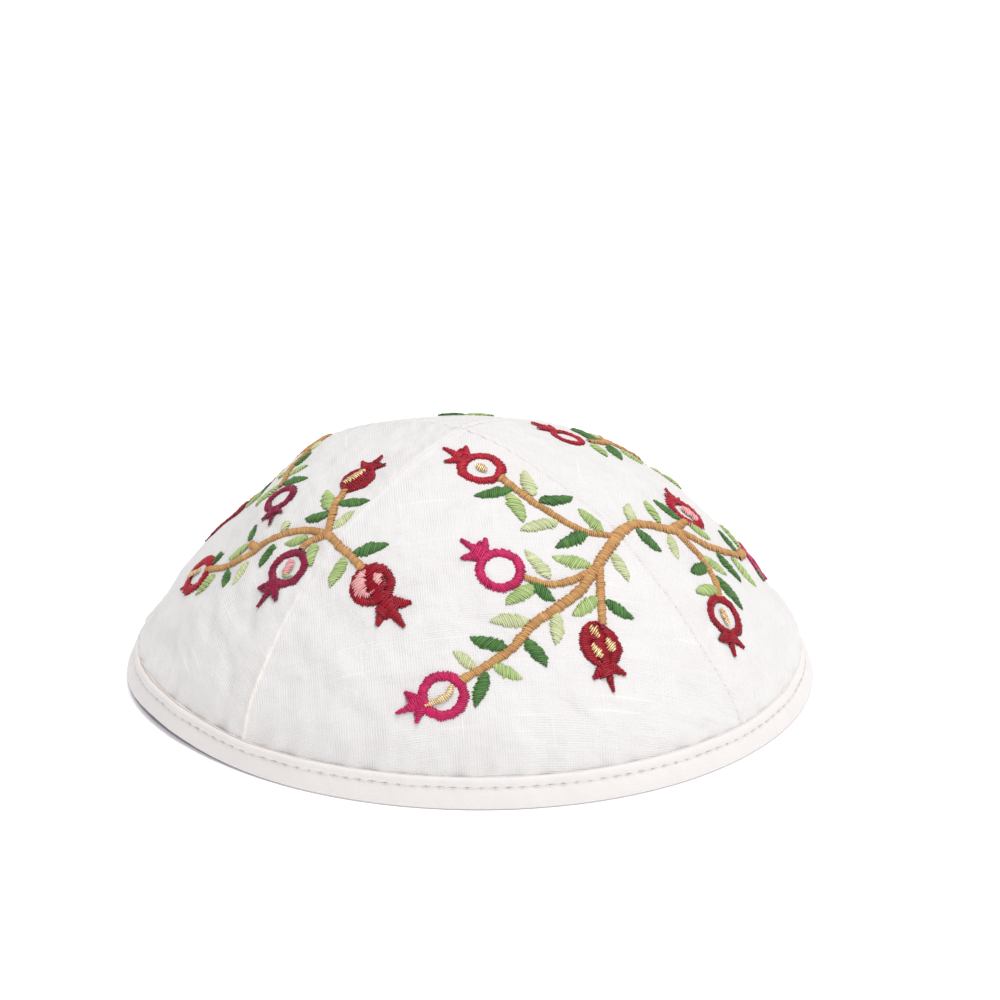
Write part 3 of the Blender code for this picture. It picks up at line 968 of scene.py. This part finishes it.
def runs_between(first_edge, second_edge, lift, turns=(0.0,)):
    """Runs of stitches from edge to edge, laid on the cloth, at some turns round the crown."""
    edges = [on_crown(first_edge), on_crown(second_edge)]
    runs = []
    for turn in turns:
        first, second = (cloth_point(azimuth + turn, station, lift) for azimuth, station in edges)
        azimuth, station = on_crown(0.5 * (first + second))
        runs.append((0.5 * (first + second), 0.5 * (second - first), crown_out(azimuth, station)))
    return runs


def strip_runs(middle, half_widths, slant, lift, turns=(0.0,)):
    """Runs of stitches across a strip of cloth that follows a line."""
    azimuth, station = on_crown(middle)
    forward = tangents(middle)
    side = unit(np.cross(forward, crown_out(azimuth, station)))
    side = side * math.cos(slant) + forward * math.sin(slant)
    reach = side * np.asarray(half_widths)[:, None]
    return runs_between(middle - reach, middle + reach, lift, turns)


# The stems: ochre satin stitch, thick where a branch forks and thinner in the twigs, with a round
# knob where one ends bare. A row gives the width at the two ends of a path, in mm, and the path. The
# branch on the left is repeated behind the crown, where FAR_TURN takes it.
FAR_TURN = -128.0
BRANCHES = {
    "front": {"turns": (0.0,)},
    "left": {"turns": (0.0, FAR_TURN)},
    "left top": {"turns": (0.0,)},
    "back": {"turns": (0.0,)},
}
STEMS = {
    "front": [
        ((1.9, 2.7), [(462, 680), (475, 672.5), (487, 666), (499.5, 657.5), (511.5, 649),
         (522.5, 637), (533, 624), (548.5, 614), (563.5, 603.5), (580.5, 590), (594.5, 570),
         (606.5, 551.5), (620, 532)]),
        ((2.6, 2.1), [(606.5, 551.5), (620, 533), (634, 525), (650.5, 526), (666, 529.5),
         (678, 532.5), (692, 538), (707, 546), (722.5, 551), (736, 555)]),
        ((1.7, 2.4), [(612, 536.5), (594.5, 534), (579, 529), (563.5, 521), (548.5, 511.5),
         (533, 502.5), (521, 493.5), (510, 485.5), (501.5, 478)]),
        ((2.0, 1.6), [(597, 566), (583.5, 575), (568.5, 581.5), (551.5, 584.5), (536, 582),
         (525.5, 578)]),
        ((2.2, 2.0), [(599, 562), (600.5, 580), (600.5, 593), (601.5, 606.5), (602, 618),
         (602.5, 624)]),
        ((2.1, 2.1), [(676, 532), (689, 545.5), (699.5, 556), (708.5, 570), (715.5, 583.5),
         (718.5, 597)]),
        ((2.4, 2.2), [(668, 530), (676, 527.5), (684, 522)]),
        ((2.3, 2.7), [(738, 556.5), (742.5, 553)]),
    ],
    "left": [
        ((1.9, 2.0), [(206, 569.5), (220, 567), (236, 561.5), (252, 553.5), (263, 545.5),
         (277, 537.5), (289.5, 531.5), (307.5, 529.5), (320, 531.5), (332.5, 538.5), (339.5, 546.5),
         (350.5, 555.5), (358, 564), (363, 569.5)]),
        ((2.1, 1.9), [(322, 536), (309.5, 540), (302, 548)]),
        ((1.9, 2.3), [(258, 548), (251.5, 544.5)]),
    ],
    "left top": [
        ((2.2, 2.0), [(328, 535), (332.5, 516), (336, 505), (345, 492)]),
    ],
    "back": [
        ((1.5, 1.6), [(588.5, 442.5), (598, 444), (607, 446)]),
        ((1.9, 2.0), [(607, 446), ("far", 122.5, 0.79), ("far", 122.5, 0.74), ("far", 121.5, 0.70),
         ("far", 125.0, 0.64), ("far", 126.0, 0.56), ("far", 125.0, 0.49)]),
        ((1.8, 2.0), [(607, 446), ("far", 128.0, 0.78), ("far", 137.0, 0.71),
         ("far", 148.0, 0.62)]),
        ((1.3, 1.4), [(281, 487.5), (285, 480), (288, 473), (293, 465)]),
        ((1.5, 1.9), [(291, 468), (301.5, 458), (309, 451), ("far", 241.0, 0.81),
         ("far", 231.0, 0.78), ("far", 220.0, 0.69)]),
        ((1.6, 1.5), [("far", 234.0, 0.79), ("far", 239.0, 0.70), ("far", 244.0, 0.61),
         ("far", 246.5, 0.53)]),
    ],
}
ochre = thread_finish("stem_thread", (0.33, 0.155, 0.050), (0.85, 0.48, 0.19), 0.30, 0.62)
runs = []
for branch, stems in STEMS.items():
    for stem in table("wide path", *stems):
        middle = through([spot(at) for at in stem["path"]])
        half_widths = np.linspace(*stem["wide"], len(middle)) * 0.5 * MM
        half_widths = half_widths * (1.12 + 0.07 * np.sin(np.arange(len(middle)) * 1.1))
        runs += strip_runs(middle, half_widths, math.radians(16.0), 0.14 * MM, **BRANCHES[branch])
sew("embroidered_stems", runs, ochre, SATIN_PITCH, SATIN_THREAD,
    arch=0.44 * MM, arch_share=0.12, raggedness=0.14)

# The leaves: satin stitch in three greens. Each is an oval from its foot on the stem to its tip,
# blunt at the foot and pointed at the tip.
LEAF_WIDTH = 2.75 * MM         # the width of a leaf, and how much of its length is added to that
LEAF_WIDTH_SHARE = 0.18
LEAVES = {
    "dark": {
        "front": [
            ((511.5, 490), (475, 496.5)), ((540.5, 502.5), (571.5, 498)),
            ((587.5, 533), (556, 547.5)), ((531, 583.5), (554.5, 600.5)),
            ((506, 649.5), (471, 637.5)), ((485.5, 673.5), (475.5, 706.5)),
            ((527.5, 640), (546, 666.5)), ((605.5, 602), (633, 618)), ((679.5, 520), (654, 501)),
            ((636.5, 531.5), (660.5, 551)), ((718, 554), (740, 581.5)),
            ((735.5, 551), (718.5, 531.5)), ((716.5, 577), (741.5, 609)), ((751, 563), (762.5, 581)),
            ((706, 567), (691, 572)),
        ],
        "left": [
            ((249, 540), (257.5, 527)), ((214.5, 563), (221, 552.5)), ((227, 569.5), (223.5, 586.5)),
            ((274.5, 546.5), (261, 567)), ((329, 516), (305.7, 518.5)),
            ((339.5, 504.5), (369, 501.5)), ((354, 553.5), (388, 545)),
        ],
        "back": [
            ((595, 443.5), (572.5, 429.5)), ((608, 447.5), (621, 460)), ((616, 446.5), (623, 450.5)),
            ((284.5, 484.5), (307, 478)), ((295, 465), (311, 453)), ((270, 484.5), (260, 494.5)),
        ],
    },
    "mid": {
        "front": [
            ((510, 495), (523, 521.5)), ((602, 531), (579, 510)), ((589.5, 566), (553, 557)),
            ((533, 586), (506.5, 604)), ((597.5, 599), (573, 615)), ((494, 666.5), (521, 679)),
            ((657.5, 522.5), (645, 502)), ((688, 524.5), (709.5, 539)), ((704, 557), (726, 574.5)),
            ((732, 559), (754, 586.5)), ((739, 548), (720, 525.5)), ((716, 589), (696, 593.5)),
        ],
        "left": [
            ((247.5, 546.5), (229, 558)), ((213.5, 574), (194, 593)), ((306, 538), (285.5, 543.5)),
            ((311, 544.5), (312, 565.5)), ((330, 511.5), (327.5, 491.5)),
            ((344, 558), (330.5, 586.5)),
        ],
        "back": [
            ((593, 446), (606, 456.5)), ((621, 452), (641, 464.5)), ((663, 472.5), (680, 489)),
            ((278.5, 487), (260, 508)), ((290.5, 473.5), (307, 466)), ((286.5, 472), (279, 478.5)),
            (("far", 251.0, 0.62), ("far", 250.0, 0.53)),
        ],
    },
    "pale": {
        "front": [
            ((531.5, 495.5), (524.5, 471)), ((556, 521), (521.5, 530)), ((548.5, 578), (525.5, 551)),
            ((527.5, 621), (491, 621)), ((557.5, 614), (555.5, 644)), ((475, 667.5), (454, 652)),
            ((614, 554.5), (627.5, 580.5)), ((669, 536), (677.5, 558.5)), ((630, 522.5), (628, 505)),
        ],
        "left": [
            ((248.5, 563), (233.5, 584)), ((285, 531), (285, 521.5)), ((334, 528), (354, 512.5)),
        ],
        "back": [((603, 442.5), (588, 434.5)), ((651, 467.5), (662, 476)), ((312, 450), (321, 443))],
    },
}
LEAF_SHADES = {                # dark, light, gloss, and how light the painted shade in the grooves is
    "dark": ((0.022, 0.085, 0.020), (0.13, 0.31, 0.075), 0.30, 0.45),
    "mid": ((0.25, 0.37, 0.115), (0.62, 0.76, 0.34), 0.30, 0.66),
    "pale": ((0.44, 0.49, 0.24), (0.80, 0.85, 0.54), 0.30, 0.72),
}
LEAF_THREADS = {
    green: thread_finish(f"{green}_leaf_thread", *shades) for green, shades in LEAF_SHADES.items()
}


def oval_runs(foot, tip, width, slant, lift, turns=(0.0,)):
    """Runs of stitches across an oval that is blunt at its foot and pointed at its tip."""
    middle = through([foot, tip], 8)
    share = np.linspace(0.02, 0.985, len(middle))
    half_widths = 0.5 * width * np.sin(math.pi * share**0.80) ** 0.62
    return strip_runs(middle, half_widths, slant, lift, turns)


for green, branches in LEAVES.items():
    runs = []
    for branch, leaves in branches.items():
        for number, (foot, tip) in enumerate(leaves):
            foot, tip = spot(foot), spot(tip)
            length = np.linalg.norm(tip - foot)
            width = LEAF_WIDTH + LEAF_WIDTH_SHARE * length + 0.2 * MM * math.sin(2.3 * number)
            slant = 0.40 if number % 2 else -0.40
            runs += oval_runs(foot, tip, width, slant, 0.02 * MM, **BRANCHES[branch])
    sew(f"embroidered_{green}_leaves", runs, LEAF_THREADS[green],
        SATIN_PITCH, SATIN_THREAD, arch=0.36 * MM, arch_share=0.14, raggedness=0.14)

# The pomegranates: rings or filled rounds of red satin stitch with a three-pointed calyx. A row gives
# the middle of the fruit, the tip of its calyx towards which it points, its share of the full size,
# and its hole as a share of its radius, 0 where it is filled.
FRUIT_RADIUS = 6.1 * MM
HOLE_SHARE = 0.59
POMEGRANATES = {
    "crimson": {
        "front": [
            ((481.5, 468.5), (443.5, 449)),
            ((685, 513), (665, 489.5), 1.0, 0.48),
        ],
        "left": [((197.5, 573.5), (179, 588), 1.0, 0.50)],
        "back": [
            ((567.5, 438), (531.5, 423.5), 0.76),
            (("far", 215.0, 0.60), ("far", 208.0, 0.46)),
        ],
    },
    "dark_red": {
        "front": [
            ((600, 644), (613.5, 692), 1.0, 0.0),
            ((725, 616), (733.5, 657)),
        ],
        "left": [((372, 585), (404.5, 627.5), 0.94)],
        "left top": [
            ((357, 480.5), (382, 456.5), 0.86, 0.0),
        ],
        "back": [
            (("far", 246.5, 0.45), ("far", 244.0, 0.28)),
            (("far", 154.0, 0.56), ("far", 160.0, 0.41)),
        ],
    },
    "magenta": {
        "front": [
            ((443, 695.5), (396, 714)),
            ((500, 570), (460.5, 539.5)),
        ],
        "back": [
            (("far", 101.5, 0.325), ("far", 112.0, 0.20)),
            (("far", 125.0, 0.40), ("far", 127.0, 0.24)),
        ],
    },
    # A darker magenta, used only on the fruits on the left.
    "dark_magenta": {
        "left": [((289, 568.5), (258, 607), 0.93)],
        "back": [((281, 499), (270, 526), 0.80, 0.54)],
    },
}
FRUIT_SHADES = {
    "crimson": ((0.20, 0.002, 0.010), (0.70, 0.012, 0.045)),
    "dark_red": ((0.11, 0.001, 0.006), (0.53, 0.005, 0.028)),
    "dark_magenta": ((0.08, 0.002, 0.018), (0.46, 0.014, 0.08)),
    "magenta": ((0.28, 0.004, 0.050), (0.82, 0.022, 0.17)),
}
FRUIT_THREADS = {
    red: thread_finish(f"{red}_thread", *shades) for red, shades in FRUIT_SHADES.items()
}


def calyx_runs(centre, ahead, side, reach, turns):
    """The foot, the two side points and the long middle point of a calyx. Its sizes are shares of
    its reach from the fruit's centre."""
    def at(forward, aside):
        return centre + (ahead * forward + side * aside) * reach

    def prong(root, tip, wide, slant, lift):
        line = through([root, tip], 8)
        return strip_runs(line, np.linspace(0.5 * wide, 0.16 * wide, len(line)), slant, lift, turns)

    foot = through([at(0.40, 0.0), at(0.52, 0.0), at(0.66, 0.0)])
    runs = strip_runs(foot, np.linspace(0.17, 0.235, len(foot)) * reach, 0.25, 0.20 * MM, turns)
    for aside in (-1.0, 1.0):
        runs += prong(at(0.50, 0.10 * aside), at(0.68, 0.33 * aside), 0.30 * reach,
                      0.4 * aside, 0.24 * MM)
    return runs + prong(at(0.54, 0.0), at(1.0, 0.0), 0.25 * reach, 0.35, 0.28 * MM)


for red, branches in POMEGRANATES.items():
    runs = []
    for branch, fruits in branches.items():
        for fruit in table("centre towards size hole", *fruits):
            centre = spot(fruit["centre"])
            out = crown_out(*on_crown(centre))[0]
            ahead = spot(fruit["towards"]) - centre
            ahead = ahead - out * (ahead @ out)
            reach, ahead = np.linalg.norm(ahead), unit(ahead)
            side = np.cross(out, ahead)
            turns = BRANCHES[branch]["turns"]
            outer = fruit.get("size", 1.0) * FRUIT_RADIUS
            inner = fruit.get("hole", HOLE_SHARE) * outer
            if inner > 0.0:
                turn = np.linspace(0.0, 2.0 * math.pi, 49)[:, None]
                spoke = ahead * np.cos(turn) + side * np.sin(turn)
                leaning = ahead * np.cos(turn + 0.34) + side * np.sin(turn + 0.34)
                runs += runs_between(
                    centre + spoke * inner, centre + leaning * outer, 0.08 * MM, turns
                )
            else:
                share = np.linspace(0.02, 0.98, 19)
                middle = centre + ahead * (outer * (2.0 * share - 1.0))[:, None]
                half_widths = outer * 0.88 * np.sin(math.pi * share) ** 0.55
                for start, end in ((-1.0, -0.30), (-0.42, 0.42), (0.30, 1.0)):
                    near = middle + side * (start * half_widths[:, None])
                    far = middle + side * (end * half_widths[:, None]) + ahead * 0.7 * MM
                    runs += runs_between(near, far, 0.08 * MM, turns)
            runs += calyx_runs(centre, ahead, side, reach, turns)
    sew(f"embroidered_{red}_pomegranates", runs, FRUIT_THREADS[red],
        SATIN_PITCH, SATIN_THREAD, arch=0.38 * MM, arch_share=0.10, raggedness=0.14)

# The seeds: short bars of metallic gold thread in some fruit, and pink, dark red or green satin in
# others. A row gives a seed's path, its width in mm, the height in mm at which it lies above the
# cloth, and its taper, how quickly its ends narrow.
SEEDS = {
    "gold": {
        "front": [
            ([(452, 686), (446, 697), (426, 706)], 1.7),
            ([(477.5, 467), (486, 471.5)], 2.6),
            ([(590, 628), (598, 637)], 2.8),
            ([(606, 640), (613, 651)], 2.7),
            ([(592, 646), (601, 657)], 2.5),
            ([(720, 610), (724, 617), (727.5, 625)], 2.3),
        ],
        "left": [([(201, 570), (188.5, 577.5)], 1.5)],
        "left top": [([(345, 484.5), (355, 479), (364.5, 472)], 2.6)],
    },
    "pink": {
        "front": [([(681, 509), (695, 520.5)], 3.2)],
        "left": [
            ([(366, 572.5), (360.5, 578), (360, 588), (364.5, 595), (370, 596.5)], 3.5, 0.62, 0.9),
            ([(376, 577), (381.5, 584)], 2.8, 0.85),
            ([(368, 597), (377, 590.5)], 0.5, 0.70),
            ([(292, 561.5), (287, 576)], 2.7),
        ],
    },
    "dark_red": {"left": [([(371, 568), (376, 585), (380, 602)], 6.4, 0.25)]},
    "mid_leaf": {"left": [([(285, 577.5), (293, 577.5)], 0.8)]},
}
SEED_SHADES = {
    "gold": ((0.66, 0.36, 0.12), (1.0, 0.90, 0.56), 0.22, 0.6),
    "pink": ((0.70, 0.20, 0.22), (1.0, 0.66, 0.64), 0.30, 0.6),
}
SEED_THREADS = {
    name: thread_finish(f"{name}_thread", *shades) for name, shades in SEED_SHADES.items()
}
SEED_PITCH = 0.44 * MM
SEED_THREAD = 0.26 * MM
SEED_PITCHES = {"gold": 0.47 * MM}     # the metallic thread is the coarser one
SEED_THREADS["gold"].shader.inputs["Metallic"].default_value = 0.5
SEED_THREADS["dark_red"] = FRUIT_THREADS["dark_red"]
SEED_THREADS["mid_leaf"] = LEAF_THREADS["mid"]
for thread, branches in SEEDS.items():
    runs = []
    for branch, seeds in branches.items():
        for seed in table("path wide lift taper", *seeds):
            middle = through([spot(at) for at in seed["path"]])
            share = np.linspace(0.06, 0.94, len(middle))
            half_widths = 0.5 * seed["wide"] * MM * np.sin(math.pi * share) ** seed.get("taper", 0.4)
            lift = seed.get("lift", 0.50) * MM
            runs += strip_runs(middle, half_widths, 0.3, lift, **BRANCHES[branch])
    sew(f"embroidered_{thread}_seeds", runs, SEED_THREADS[thread],
        SEED_PITCHES.get(thread, SEED_PITCH), SEED_THREAD, arch=0.38 * MM, arch_share=0.10,
        raggedness=0.24)
